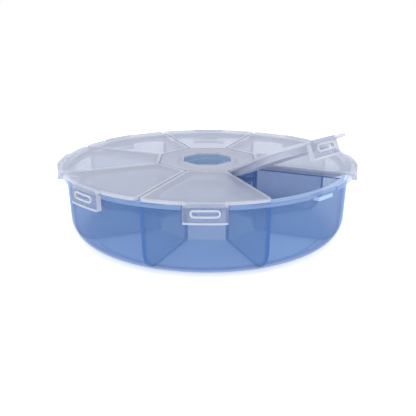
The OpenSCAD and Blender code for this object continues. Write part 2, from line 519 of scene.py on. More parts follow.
class GeometryTree:
    """A Geometry Nodes tree that repeats a solid or carries it to its place."""

    def __init__(self, name: str, **inputs: str) -> None:
        """Starts a tree with a geometry socket each way, a material input and inputs of its own.

        Args:
            name: The tree's name.
            inputs: The socket types of its own inputs, by their names with underscores for spaces.
        """
        self.tree = bpy.data.node_groups.new(name, "GeometryNodeTree")
        face = self.tree.interface
        face.new_socket("Geometry", in_out="INPUT", socket_type="NodeSocketGeometry")
        face.new_socket("Geometry", in_out="OUTPUT", socket_type="NodeSocketGeometry")
        self.ids: dict[str, str] = {}
        for key, kind in {"Material": "NodeSocketMaterial", **inputs}.items():
            socket = face.new_socket(key.replace("_", " "), in_out="INPUT", socket_type=kind)
            self.ids[key] = socket.identifier
        self.given = self.node("NodeGroupInput").outputs

    def node(self, kind: str, links: dict[str | int, object] | None = None,
             **values: object) -> bpy.types.Node:
        """Adds a node, sets its properties, and links or sets its inputs."""
        return add_node(self.tree, kind, links, **values)

    def finish(self, geometry: bpy.types.NodeSocket) -> None:
        """Ends the tree in Realize Instances and Set Material."""
        real = self.node("GeometryNodeRealizeInstances", {"Geometry": geometry})
        dress = self.node("GeometryNodeSetMaterial", {"Geometry": real.outputs["Geometry"],
                                                      "Material": self.given["Material"]})
        self.node("NodeGroupOutput", {"Geometry": dress.outputs["Geometry"]})

    def applied(self, obj: bpy.types.Object, name: str, **values: object) -> bpy.types.Object:
        """Runs the tree on an object.

        Args:
            obj: The object, which is used up.
            name: The result's name.
            values: The inputs, by their names with underscores for spaces.

        Returns:
            The result as a plain mesh.
        """
        modifier = obj.modifiers.new(self.tree.name, "NODES")
        modifier.node_group = self.tree
        for key, value in values.items():
            modifier[self.ids[key]] = value
        return settled(obj, name)


class RoundRepeat(GeometryTree):
    """Repeats a solid evenly about the Z axis."""

    def __init__(self) -> None:
        """Builds the tree: a row of points, an instance on each, turned by its place in the row."""
        super().__init__("Repeat round the case", Count="NodeSocketInt", Phase="NodeSocketFloat")
        points = self.node("GeometryNodePoints", {"Count": self.given["Count"]})
        index = self.node("GeometryNodeInputIndex")
        share = self.node("ShaderNodeMath", {0: index.outputs[0], 1: self.given["Count"]}, operation="DIVIDE")
        turn = self.node("ShaderNodeMath", {0: share.outputs[0], 1: math.tau, 2: self.given["Phase"]},
                         operation="MULTIPLY_ADD")
        spin = self.node("ShaderNodeCombineXYZ", {"Z": turn.outputs[0]})
        placed = self.node("GeometryNodeInstanceOnPoints", {
            "Points": points.outputs[0], "Instance": self.given["Geometry"], "Rotation": spin.outputs[0]})
        self.finish(placed.outputs["Instances"])


class CarryToPlace(GeometryTree):
    """Lifts a piece about its hinge, turns it to its flap's direction and brings it to metres."""

    def __init__(self) -> None:
        """Builds the tree: to the hinge, lift, back, then turn and scale."""
        names = ("Direction", "Lift", "Hinge_Distance", "Hinge_Height", "Unit")
        super().__init__("Carry to place", **dict.fromkeys(names, "NodeSocketFloat"))
        hinge = self.node("ShaderNodeCombineXYZ", {"X": self.given["Hinge Distance"],
                                                   "Z": self.given["Hinge Height"]})
        back = self.node("ShaderNodeVectorMath", {0: hinge.outputs[0], "Scale": -1.0}, operation="SCALE")
        down = self.node("ShaderNodeMath", {0: self.given["Lift"], 1: -1.0}, operation="MULTIPLY")
        lift = self.node("ShaderNodeCombineXYZ", {"Y": down.outputs[0]})
        turn = self.node("ShaderNodeCombineXYZ", {"Z": self.given["Direction"]})
        unit = self.node("ShaderNodeCombineXYZ", {axis: self.given["Unit"] for axis in "XYZ"})
        moved = self.given["Geometry"]
        for move in ({"Translation": back.outputs[0]}, {"Rotation": lift.outputs[0]},
                     {"Translation": hinge.outputs[0]},
                     {"Rotation": turn.outputs[0], "Scale": unit.outputs[0]}):
            moved = self.node("GeometryNodeTransform", {"Geometry": moved, **move}).outputs["Geometry"]
        self.finish(moved)


# ---------------------------------------------------------------- shader groups


class ShaderGroup:
    """A shader node group with named inputs and outputs."""

    def __init__(self, name: str, inputs: dict[str, tuple[str, object]], outputs: dict[str, str]) -> None:
        """Makes the group's sockets.

        Args:
            name: The group's name.
            inputs: Each input's socket type and value.
            outputs: Each output's socket type.
        """
        self.tree = bpy.data.node_groups.new(name, "ShaderNodeTree")
        for key, (kind, value) in inputs.items():
            self.tree.interface.new_socket(key, in_out="INPUT", socket_type=kind).default_value = value
        for key, kind in outputs.items():
            self.tree.interface.new_socket(key, in_out="OUTPUT", socket_type=kind)
        self.entry = self.tree.nodes.new("NodeGroupInput")
        self.out = self.tree.nodes.new("NodeGroupOutput")

    def node(self, kind: str, links: dict[str | int, object] | None = None,
             **values: object) -> bpy.types.Node:
        """Adds a node, sets its properties, and links or sets its inputs."""
        return add_node(self.tree, kind, links, **values)


class MouldGrain(ShaderGroup):
    """The fine uneven skin of a moulded face: a height for bump, and a roughness that drifts."""

    def __init__(self) -> None:
        """Builds the group on object coordinates."""
        number = "NodeSocketFloat"
        super().__init__("Mould grain", {"Grain": (number, 3200.0), "Drift": (number, 60.0),
                                         "Roughness": (number, 0.3), "Spread": (number, 0.08)},
                         {"Height": number, "Roughness": number})
        where = self.node("ShaderNodeTexCoord")
        fine = self.node("ShaderNodeTexNoise", {"Vector": where.outputs["Object"],
                                                "Scale": self.entry.outputs["Grain"], "Detail": 3.0})
        broad = self.node("ShaderNodeTexNoise", {"Vector": where.outputs["Object"],
                                                 "Scale": self.entry.outputs["Drift"], "Detail": 4.0,
                                                 "Roughness": 0.65})
        mixed = self.node("ShaderNodeMath", {0: broad.outputs["Fac"], 1: 1.6, 2: fine.outputs["Fac"]},
                          operation="MULTIPLY_ADD")
        centred = self.node("ShaderNodeMath", {0: broad.outputs["Fac"], 1: 0.5}, operation="SUBTRACT")
        rough = self.node("ShaderNodeMath", {0: centred.outputs[0], 1: self.entry.outputs["Spread"],
                                             2: self.entry.outputs["Roughness"]}, operation="MULTIPLY_ADD")
        self.tree.links.new(mixed.outputs[0], self.out.inputs["Height"])
        self.tree.links.new(rough.outputs[0], self.out.inputs["Roughness"])


class PlasticTone(ShaderGroup):
    """A plastic's colour, drifting a little through the melt, and paler along sharp edges, where a highlight
    is painted.
    """

    def __init__(self) -> None:
        """Builds the group on object coordinates and the surface's own sharpness."""
        number, colour = "NodeSocketFloat", "NodeSocketColor"
        super().__init__("Plastic tone", {"Colour": (colour, (0.5, 0.5, 0.5, 1.0)),
                                          "Flow Colour": (colour, (0.5, 0.5, 0.5, 1.0)),
                                          "Edge Highlight Colour": (colour, (0.8, 0.8, 0.8, 1.0)),
                                          "Flow": (number, 25.0), "Edge": (number, 0.5)},
                         {"Colour": colour})
        where = self.node("ShaderNodeTexCoord")
        streak = self.node("ShaderNodeTexNoise", {"Vector": where.outputs["Object"],
                                                  "Scale": self.entry.outputs["Flow"], "Detail": 3.0,
                                                  "Distortion": 0.6})
        flow = self.node("ShaderNodeMix", {0: streak.outputs["Fac"], 6: self.entry.outputs["Colour"],
                                           7: self.entry.outputs["Flow Colour"]}, data_type="RGBA")
        shape = self.node("ShaderNodeNewGeometry")
        # Painted highlight: where pointiness shows a sharp edge, the colour is mixed towards the edge
        # highlight colour.
        sharp = self.node("ShaderNodeMapRange", {"Value": shape.outputs["Pointiness"], "From Min": 0.51,
                                                 "From Max": 0.60, "To Max": self.entry.outputs["Edge"]})
        with_painted_light = self.node("ShaderNodeMix", {0: sharp.outputs[0], 6: flow.outputs[2],
                                           7: self.entry.outputs["Edge Highlight Colour"]}, data_type="RGBA")
        self.tree.links.new(with_painted_light.outputs[2], self.out.inputs["Colour"])


@dataclass(frozen=True)
class Finish:
    """A translucent moulded polypropylene.

    Attributes:
        name: The material's name.
        colour, flow_colour, edge_highlight_colour: Its colour, what it drifts to, and the paler colour
        painted on sharp edges as a highlight.
        cover: How much light each face scatters back rather than letting it through.
        roughness, spread: Its roughness and how far that drifts.
        grain, depth: Scale of the fine skin and its height in metres.
        coat: Weight of the glossy skin of a polished mould.
        ior: Index of refraction.
        edge: How far sharp edges turn to that painted highlight colour.
        absorb: Colour that the body of the plastic lets through.
        density: How strongly it absorbs, per metre.
    """

    name: str
    colour: tuple[float, float, float]
    flow_colour: tuple[float, float, float]
    edge_highlight_colour: tuple[float, float, float]
    cover: float
    roughness: float
    spread: float
    grain: float
    depth: float
    coat: float = 0.0
    ior: float = 1.5
    edge: float = 0.5
    absorb: tuple[float, float, float] = (1.0, 1.0, 1.0)
    density: float = 0.0

    def material(self, grain: MouldGrain, tone: PlasticTone) -> bpy.types.Material:
        """Builds the material.

        Args:
            grain: The shared grain group.
            tone: The shared colour group.

        Returns:
            The material.
        """
        made = bpy.data.materials.new(self.name)
        made.use_nodes = True
        tree = made.node_tree
        shader = tree.nodes["Principled BSDF"]
        skin = add_node(tree, "ShaderNodeGroup", node_tree=grain.tree)
        for key, value in {"Grain": self.grain, "Roughness": self.roughness, "Spread": self.spread}.items():
            skin.inputs[key].default_value = value
        paint = add_node(tree, "ShaderNodeGroup", node_tree=tone.tree)
        for key, value in {"Colour": self.colour, "Flow Colour": self.flow_colour,
                           "Edge Highlight Colour": self.edge_highlight_colour}.items():
            paint.inputs[key].default_value = (*value, 1.0)
        # How far sharp edges take the painted highlight colour.
        paint.inputs["Edge"].default_value = self.edge
        bump = add_node(tree, "ShaderNodeBump", {"Height": skin.outputs["Height"], "Distance": self.depth,
                                                 "Strength": 0.6})
        tree.links.new(paint.outputs["Colour"], shader.inputs["Base Color"])
        tree.links.new(skin.outputs["Roughness"], shader.inputs["Roughness"])
        tree.links.new(bump.outputs["Normal"], shader.inputs["Normal"])
        shader.inputs["Alpha"].default_value = self.cover
        shader.inputs["IOR"].default_value = self.ior
        shader.inputs["Coat Weight"].default_value = self.coat
        shader.inputs["Coat Roughness"].default_value = 0.12
        if self.density:
            body = add_node(tree, "ShaderNodeVolumeAbsorption")
            body.inputs["Color"].default_value = (*self.absorb, 1.0)
            body.inputs["Density"].default_value = self.density
            tree.links.new(body.outputs["Volume"], tree.nodes["Material Output"].inputs["Volume"])
        return made


GLOSSY = {"spread": 0.06, "grain": 2600.0, "depth": 0.0000004}
FROSTED = {"spread": 0.10, "grain": 4200.0, "depth": 0.000003}

TRAY_BLUE = Finish(
    "Tray blue polypropylene", (0.19, 0.34, 0.64), (0.175, 0.325, 0.63), (0.25, 0.40, 0.68),
    cover=0.27, roughness=0.24, coat=0.05, ior=1.25, edge=0.35, absorb=(0.42, 0.58, 0.82), density=190.0,
    **GLOSSY)
# Painted highlight: a paler, more covering copy of the tray blue for the rim and the flange, where light
# falls from above.
TRAY_RIM_HIGHLIGHT = Finish(
    "Tray blue rim painted highlight", (0.30, 0.43, 0.69), (0.28, 0.41, 0.68), (0.35, 0.48, 0.73),
    cover=0.45, roughness=0.26, coat=0.05, ior=1.3, edge=0.3, **GLOSSY)
# Painted light: a pale, more covering copy of the tray blue that lightens the well's walls and the lugs
# behind the latches' slots, which lie in shade.
TRAY_WELL_PAINTED_LIGHT = Finish(
    "Tray pale blue painted light", (0.50, 0.68, 0.96), (0.47, 0.66, 0.95), (0.56, 0.72, 0.97),
    cover=0.60, roughness=0.26, coat=0.05, ior=1.3, edge=0.3, **GLOSSY)
# Painted shade: a deep, nearly opaque blue on the dividers' ends and tops, for the darkening that light takes
# through a divider's length.
DIVIDER_EDGE_SHADE = Finish(
    "Divider blue painted edge shade", (0.005, 0.11, 0.40), (0.005, 0.10, 0.38), (0.02, 0.14, 0.44),
    cover=0.95, roughness=0.34, ior=1.25, edge=0.2, **GLOSSY)
LID_FROST = Finish(
    "Lid frosted polypropylene", (0.54, 0.58, 0.70), (0.52, 0.56, 0.69), (0.68, 0.71, 0.79),
    cover=0.49, roughness=0.38, ior=1.35, edge=0.6, **FROSTED)
LID_BORDER = Finish(
    "Lid pale border", (0.61, 0.65, 0.75), (0.59, 0.63, 0.74), (0.70, 0.73, 0.81),
    cover=0.60, roughness=0.34, ior=1.35, edge=0.6, **FROSTED)
# Painted shade: a darker, more see-through copy of the lid's frost for the upright latches.
LATCH_FROST_SHADED = Finish(
    "Latch frosted polypropylene painted shade", (0.40, 0.46, 0.62), (0.38, 0.44, 0.61), (0.54, 0.59, 0.72),
    cover=0.24, roughness=0.34, spread=0.10, grain=4200.0, depth=0.000002, ior=1.3, edge=0.6)
# Painted highlight: a paler, more covering frost for the side faces and rounded edges of the lid and the
# latches, and for the latches' beads.
LID_EDGE_HIGHLIGHT = Finish(
    "Lid painted edge highlight", (0.57, 0.60, 0.70), (0.55, 0.58, 0.69), (0.67, 0.69, 0.77),
    cover=0.72, roughness=0.30, spread=0.08, grain=4200.0, depth=0.000002, ior=1.35, edge=0.5)
FILM_CLEAR = Finish(
    "Hinge film polypropylene", (0.42, 0.49, 0.68), (0.40, 0.47, 0.66), (0.58, 0.64, 0.78),
    cover=0.34, roughness=0.35, spread=0.08, grain=3600.0, depth=0.000002, ior=1.3, edge=0.5)


class Skin(Enum):
    """What a piece wears: its record slot, and the finishes that its face marks count from 0: its plain
    finish first, and after it the finishes with painted highlight, painted shade and painted light, and the
    lid's pale border.
    """

    TRAY = (Slot.TRAY, TRAY_BLUE, TRAY_RIM_HIGHLIGHT, TRAY_WELL_PAINTED_LIGHT)
    DIVIDER = (Slot.TRAY, TRAY_BLUE, DIVIDER_EDGE_SHADE)
    LID = (Slot.LID, LID_FROST, LID_EDGE_HIGHLIGHT, LID_BORDER)
    LATCH = (Slot.LID, LATCH_FROST_SHADED, LID_EDGE_HIGHLIGHT)
    FILM = (Slot.FILM, FILM_CLEAR, FILM_CLEAR)


# ---------------------------------------------------------------- workshop


class Workshop:
    """What all the mouldings share: the sizes, the node trees and the materials."""

    def __init__(self, sizes: CaseSizes) -> None:
        """Builds the trees and the materials."""
        self.sizes = sizes
        self.repeat = RoundRepeat()
        self.carry = CarryToPlace()
        grain, tone = MouldGrain(), PlasticTone()
        finishes = dict.fromkeys(finish for skin in Skin for finish in skin.value[1:])
        self.materials = {finish: finish.material(grain, tone) for finish in finishes}

    def around(self, obj: bpy.types.Object, phase: float = 0.0) -> bpy.types.Object:
        """Repeats a solid that lies along +X once for each cell, from a phase in degrees on."""
        return self.repeat.applied(obj, obj.name, Count=self.sizes.cells, Phase=math.radians(phase),
                                   Material=self.materials[TRAY_BLUE])

    def placed(self, obj: bpy.types.Object, name: str, skin: Skin, number: int,
               lifted: bool) -> bpy.types.Object:
        """Carries a copy of a solid that lies along +X to a flap's place, and dresses it.

        Args:
            obj: The solid, which is kept.
            name: The copy's name.
            skin: What it wears.
            number: The flap's number.
            lifted: Whether it stands open with its flap.

        Returns:
            The copy, in metres, with its object at the origin.
        """
        twin = bpy.data.objects.new(name, obj.data.copy())
        bpy.context.scene.collection.objects.link(twin)
        lift = self.sizes.lift(number) if lifted else 0.0
        made = self.carry.applied(
            twin, name, Direction=math.radians(self.sizes.direction(number)), Lift=math.radians(lift),
            Hinge_Distance=self.sizes.flap_axis_x, Hinge_Height=self.sizes.axis_z, Unit=MM,
            Material=self.materials[skin.value[1]])
        return self.dressed(made, skin)

    def dressed(self, obj: bpy.types.Object, skin: Skin) -> bpy.types.Object:
        """Gives a finished piece the finishes of its skin, by its marks."""
        slot, *finishes = skin.value
        obj.data.materials.clear()
        for finish in finishes:
            obj.data.materials.append(self.materials[finish])
        marks = obj.data.attributes.get("finish_and_painted_light")
        with_painted_light = [mark.value for mark in marks.data] if marks else [0] * len(obj.data.polygons)
        if marks:
            obj.data.attributes.remove(marks)
        for face in obj.data.polygons:
            face.material_index = with_painted_light[face.index]
        return obj


    def in_place(self, obj: bpy.types.Object, skin: Skin, *nodes: str) -> None:
        """Brings a solid that already lies in its place to metres, dresses it and fits it to the case."""
        obj.data.transform(Matrix.Scale(MM, 4))
        fitted(self.dressed(obj, skin), "case", *nodes)

    def each_flap(self, pattern: bpy.types.Object, name: str, skin: Skin, part: str) -> None:
        """Carries a copy of a pattern to each flap's place, and fits it to its own body there.

        Args:
            pattern: The solid along +X, which is used up.
            name: What the pieces are called, before their numbers.
            skin: What they are dressed in.
            part: What their CAD nodes and their bodies are called, before their numbers.
        """
        for k in self.sizes.numbers():
            fitted(self.placed(pattern, f"{name}_{k}", skin, k, True), f"{part}_{k}", f"{part}_{k}")
        discard(pattern)


def fitted(piece: bpy.types.Object, body: str, *nodes: str) -> None:
    """Lets a piece stand for its CAD nodes, rides it on a body and reports it."""
    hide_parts(*nodes)
    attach(piece, body)
    report(piece, *nodes)


def report(piece: bpy.types.Object, *nodes: str) -> None:
    """Logs a piece's size and how far its box stands from the box of the CAD nodes that it replaces."""
    points = [v.co for v in piece.data.vertices]
    low = [min(p[i] for p in points) for i in range(3)]
    high = [max(p[i] for p in points) for i in range(3)]
    boxes = [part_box(node) for node in nodes]
    want = [min(b[0][i] for b in boxes) for i in range(3)], [max(b[1][i] for b in boxes) for i in range(3)]
    off = max(abs(a - b) for mine, cad in ((low, want[0]), (high, want[1])) for a, b in zip(mine, cad))
    log.info("%s: %d faces, box off by %.2f mm", piece.name, len(piece.data.polygons), off / MM)


# ---------------------------------------------------------------- mouldings


@dataclass
class Tray:
    """The blue moulding: bays, dividers, hub, well, flange and lugs.

    Attributes:
        lug_x, lug_sunk: How far out the lugs' noses stand, and how deep in the wall the lugs start.
        floor_in_r, divider_in_r: Where the floor and the dividers start, hidden inside the hub.
        rim_in_r, mark_gap, divider_lean, rim_lean: Limits that tell apart the faces of each finish.
    """

    shop: Workshop
    draft: float = 2.4
    fillet: float = 7.3
    flange_t: float = 1.3
    divider_drop: float = 1.05
    ledge: float = 0.45
    ledge_drop: float = 1.2
    lug_x: float = 50.733
    lug_sunk: float = 0.8
    floor_in_r: float = 15.0
    divider_in_r: float = 18.0
    edge_r: float = 0.22
    rim_in_r: float = 47.5
    mark_gap: float = 0.05
    divider_lean: float = 0.8
    rim_lean: float = 0.6

    @property
    def flange_z(self) -> float:
        """Height of the flange's underside."""
        return self.shop.sizes.rim_z - self.flange_t

    def fillet_x(self) -> float:
        """Distance of the base rounding's middle from the axis."""
        slope = math.radians(self.draft)
        return (self.shop.sizes.tray_r - self.fillet * math.cos(slope)
                - (self.shop.sizes.rim_z - self.fillet + self.fillet * math.sin(slope)) * math.tan(slope))

    def shell_x(self, depth: float, z: float) -> float:
        """Radius of the wall at a height, a depth under its outer face."""
        slope, r = math.radians(self.draft), self.fillet - depth
        rise = z - self.fillet + r * math.sin(slope)
        return self.fillet_x() + r * math.cos(slope) + rise * math.tan(slope)

    def rounding(self, depth: float) -> Outline:
        """Section of the base rounding, a depth under its outer face, from the base upwards."""
        return arc(self.fillet_x(), self.fillet, self.fillet - depth, -90.0, -self.draft, FILLET_STEPS)

    def bowl(self) -> bpy.types.Object:
        """Makes the floor, the wall and the flange. The floor's inner end is hidden in the hub."""
        s = self.shop.sizes
        rim = [(self.shell_x(0.0, self.flange_z), self.flange_z), (s.flange_r, self.flange_z),
               (s.flange_r, s.rim_z), (self.shell_x(s.wall_t, s.rim_z), s.rim_z)]
        section = ([(self.floor_in_r, 0.0)] + self.rounding(0.0) + rim
                   + self.rounding(s.wall_t)[::-1] + [(self.floor_in_r, s.wall_t)])
        return lathe("tray_moulding", section)

    def divider(self) -> bpy.types.Object:
        """Makes one divider along +X, its foot and its ends let into the shell and the hub."""
        s = self.shop.sizes
        top = s.rim_z - self.divider_drop
        depth = s.wall_t / 2
        section = ([(self.divider_in_r, depth)] + self.rounding(depth)
                   + [(self.shell_x(depth, top), top), (self.divider_in_r, top)])
        return across("divider_tool", section, s.divider_t)

    def notch(self) -> bpy.types.Object:
        """Makes the tool for the flange's notch at +X, which a latch's cheeks drop into."""
        s = self.shop.sizes
        notch_x = s.latch_out_r - s.cheek_depth - s.notch_gap
        notch_y = s.latch_w / 2 + s.notch_gap
        return box("notch_tool", (notch_x, -notch_y, self.flange_z - PAST),
                   (CLEAR_R, notch_y, CLEAR_Z))

    def lug(self) -> bpy.types.Object:
        """Makes the lug at +X that a latch's slot snaps over."""
        s = self.shop.sizes
        half = s.slot_l / 2 - s.notch_gap
        return box("lug_tool", (s.tray_r - self.lug_sunk, -half, s.slot_z - s.slot_h / 2),
                   (self.lug_x, half, s.slot_z + s.slot_h / 2))

    def build(self) -> None:
        """Builds the shell and the dividers, and lets them stand for the tray's nodes."""
        s = self.shop.sizes
        inner = octagon(s.hub_wall_r - s.wall_t)
        shell = combined(self.bowl(), [
            (Cut.REMOVE, self.shop.around(self.notch())),
            (Cut.ADD, prism("hub_tool", octagon(s.hub_wall_r), 0.0, s.rim_z)),
            (Cut.ADD, self.shop.around(self.lug())),
            (Cut.REMOVE, prism("core_tool", inner, -PAST, s.deck_z - s.wall_t)),
            (Cut.REMOVE, ring_prism("moat_tool", inner, octagon(s.well_r + s.wall_t), s.deck_z, CLEAR_Z)),
            (Cut.REMOVE, prism("well_tool", octagon(s.well_r - self.ledge), -2 * PAST, CLEAR_Z + PAST)),
            (Cut.REMOVE, prism("ledge_tool", octagon(s.well_r), s.rim_z - self.ledge_drop,
                               CLEAR_Z + 2 * PAST)),
        ])
        bays = [f"tray_bay_{k}" for k in s.numbers()]
        # Painted light: the rim and the flange take a painted highlight, and the well and the lugs a painted
        # lightening of their shade.
        self.shop.in_place(moulded(shell, self.edge_r, self.finish_and_painted_light), Skin.TRAY, "tray_hub", "tray_well", *bays)
        # Painted shade: every divider face that does not face sideways takes the deep blue edge finish.
        pattern = moulded(self.divider(), self.edge_r, lambda way, at: abs(way.y) < self.divider_lean)
        dividers = self.shop.around(pattern, s.pitch / 2)
        dividers.name = "bay_dividers"
        self.shop.in_place(dividers, Skin.DIVIDER, *[f"divider_{k}" for k in s.numbers()])

    def finish_and_painted_light(self, way: Vector, at: Vector) -> int:
        """Finish of a face: 2 in the well and on the lugs, painted lighter than the shade that they lie in; 1
        on the rim and the flange, a painted highlight; and 0 elsewhere.
        """
        s = self.shop.sizes
        r = at.xy.length
        lug = r > s.tray_r + 4 * self.mark_gap and at.z < self.flange_z - self.mark_gap / 2
        if lug or r < s.well_r + 2 * self.mark_gap:
            return 2
        return int(at.z > self.flange_z - self.mark_gap and (r > self.rim_in_r or way.z > self.rim_lean))


@dataclass
class LidHub:
    """The fixed middle of the frosted moulding: an eight-sided plate with a skirt under it."""

    shop: Workshop
    edge_r: float = 0.2
    edge_lean: float = 0.97

    def build(self) -> None:
        """Builds the plate, rides it on the case and lets it stand for its node."""
        s = self.shop.sizes
        plate_r = (s.flap_axis_x - s.flap_film_w / 2) / math.cos(s.half)
        skirt_r = s.well_r + s.wall_t + s.plug_gap
        plate = ring_prism("hub_plate", octagon(plate_r), octagon(s.well_r), s.lid_under_z, s.case_h)
        skirt = ring_prism("skirt_tool", octagon(skirt_r + s.rib_t), octagon(skirt_r),
                           s.deck_z + s.notch_gap, s.lid_under_z + BURIED)
        # Painted highlight: every face but the plate's top and underside takes the bright edge finish.
        hub = moulded(combined(plate, [(Cut.ADD, skirt)]), self.edge_r,
                      lambda way, at: abs(way.z) < self.edge_lean)
        self.shop.in_place(hub, Skin.LID, "lid_hub")


@dataclass
class Flaps:
    """The eight flaps: a sector plate each, with a tab for the latch and a plug rib below."""

    shop: Workshop
    flap_inset: float = 0.15
    corner_r: float = 1.8
    rib_corner_r: float = 6.0
    plug_h: float = 1.8
    plug_r: float = 47.13
    plug_side_gap: float = 0.85
    border_w: float = 0.9
    border_rise: float = 0.04
    edge_r: float = 0.3
    edge_lean: float = 0.97

    def rib(self) -> bpy.types.Object:
        """Makes the plug rib under the flap along +X, which drops in between two dividers."""
        s = self.shop.sizes
        inset, root = s.divider_t / 2 + self.plug_side_gap, s.hub_out_x + s.plug_gap
        outer = sector(s, self.plug_r, inset, root, self.rib_corner_r)
        inner = sector(s, self.plug_r - s.rib_t, inset + s.rib_t, root + s.rib_t, self.rib_corner_r - s.rib_t)
        return ring_prism("rib_tool", outer, inner, s.lid_under_z - self.plug_h, s.lid_under_z + BURIED)

    def pattern(self) -> bpy.types.Object:
        """Makes the flap that lies along +X in the closed lid."""
        s = self.shop.sizes
        outline = sector(s, s.flange_r - self.flap_inset, s.seam_gap / 2, s.flap_axis_x + s.flap_film_w / 2,
                         self.corner_r, s.latch_axis_x - s.latch_bend_r)
        plate = prism("flap_pattern", outline, s.lid_under_z, s.case_h)
        # Painted highlight: every face but the flap's top and underside takes the bright edge finish.
        flap = moulded(combined(plate, [(Cut.ADD, self.rib())]), self.edge_r,
                       lambda way, at: abs(way.z) < self.edge_lean)
        return bordered(flap, s.case_h, self.border_w, self.border_rise)

    def build(self) -> None:
        """Builds the flaps, each on its own body."""
        self.shop.each_flap(self.pattern(), "frosted_flap", Skin.LID, "flap")


@dataclass
class Latches:
    """The eight latches: a curved face each, with a slot, a bead, a lip and two cheeks.

    Attributes:
        spare_turn: How much wider than the latch the face is turned before it is cut, in degrees.
        near_r, far_r: Where the tools that go through the face start and end.
    """

    shop: Workshop
    latch_h: float = 6.0
    bead_w: float = 0.6
    bead_h: float = 0.25
    lip_h: float = 0.6
    spare_turn: float = 2.0
    near_r: float = 40.0
    far_r: float = 60.0
    edge_r: float = 0.12
    edge_lean: float = 0.9

    def face(self, name: str, inner: float, outer: float, low: float, high: float) -> bpy.types.Object:
        """Makes a piece of the curved face, as wide as a latch."""
        s = self.shop.sizes
        edge = s.latch_w / 2
        turn = math.degrees(math.asin(edge / s.latch_out_r)) + self.spare_turn
        whole = lathe(name, [(inner, low), (outer, low), (outer, high), (inner, high)],
                      -turn, turn, LATCH_STEPS)
        width = box("width_tool", (self.near_r, -edge, 0.0), (self.far_r, edge, CLEAR_Z))
        return combined(whole, [(Cut.KEEP, width)])

    def stadium(self, name: str, grow: float) -> bpy.types.Object:
        """Makes a prism through the face on the slot's outline, grown evenly."""
        s = self.shop.sizes
        r = s.slot_h / 2 + grow
        reach = (s.slot_l - s.slot_h) / 2
        line = arc(reach, 0.0, r, -90.0, 90.0, SLOT_STEPS) + arc(-reach, 0.0, r, 90.0, 270.0, SLOT_STEPS)
        made = prism(name, line, self.near_r, self.far_r)
        made.data.transform(Matrix(((0, 0, 1, 0), (1, 0, 0, 0), (0, 1, 0, s.slot_z), (0, 0, 0, 1))))
        return made

    def pattern(self) -> bpy.types.Object:
        """Makes the latch that lies at +X on the closed lid."""
        s = self.shop.sizes
        low, top = s.case_h - self.latch_h, s.case_h - s.latch_film_h
        proud, sunk = s.latch_out_r + self.bead_h, s.latch_out_r - s.latch_t / 2
        bead = combined(self.face("bead_tool", sunk, proud, low + self.lip_h / 2, top - self.bead_h / 5),
                        [(Cut.KEEP, self.stadium("bead_edge_tool", self.bead_w))])
        steps = [(Cut.ADD, self.face("lip_tool", sunk, proud, low, low + self.lip_h)), (Cut.ADD, bead)]
        for side in (-1, 1):
            a, b = sorted((side * s.latch_w / 2, side * (s.latch_w / 2 - s.cheek_t)))
            steps.append((Cut.ADD, box("cheek_tool", (s.latch_out_r - s.cheek_depth, a, low),
                                       (sunk, b, s.lid_under_z - s.notch_gap))))
        steps.append((Cut.REMOVE, self.stadium("slot_tool", 0.0)))
        body = combined(self.face("latch_pattern", s.latch_in_r, s.latch_out_r, low, top), steps)
        bead_r = s.latch_out_r + self.bead_h / 2
        # Painted highlight: every face but the latch's front and back, and the whole bead, takes the bright
        # edge finish.
        return moulded(body, self.edge_r,
                       lambda way, at: abs(way.x) < self.edge_lean or at.xy.length > bead_r)

    def build(self) -> None:
        """Builds the latches, each on its own body."""
        self.shop.each_flap(self.pattern(), "snap_latch", Skin.LATCH, "latch")


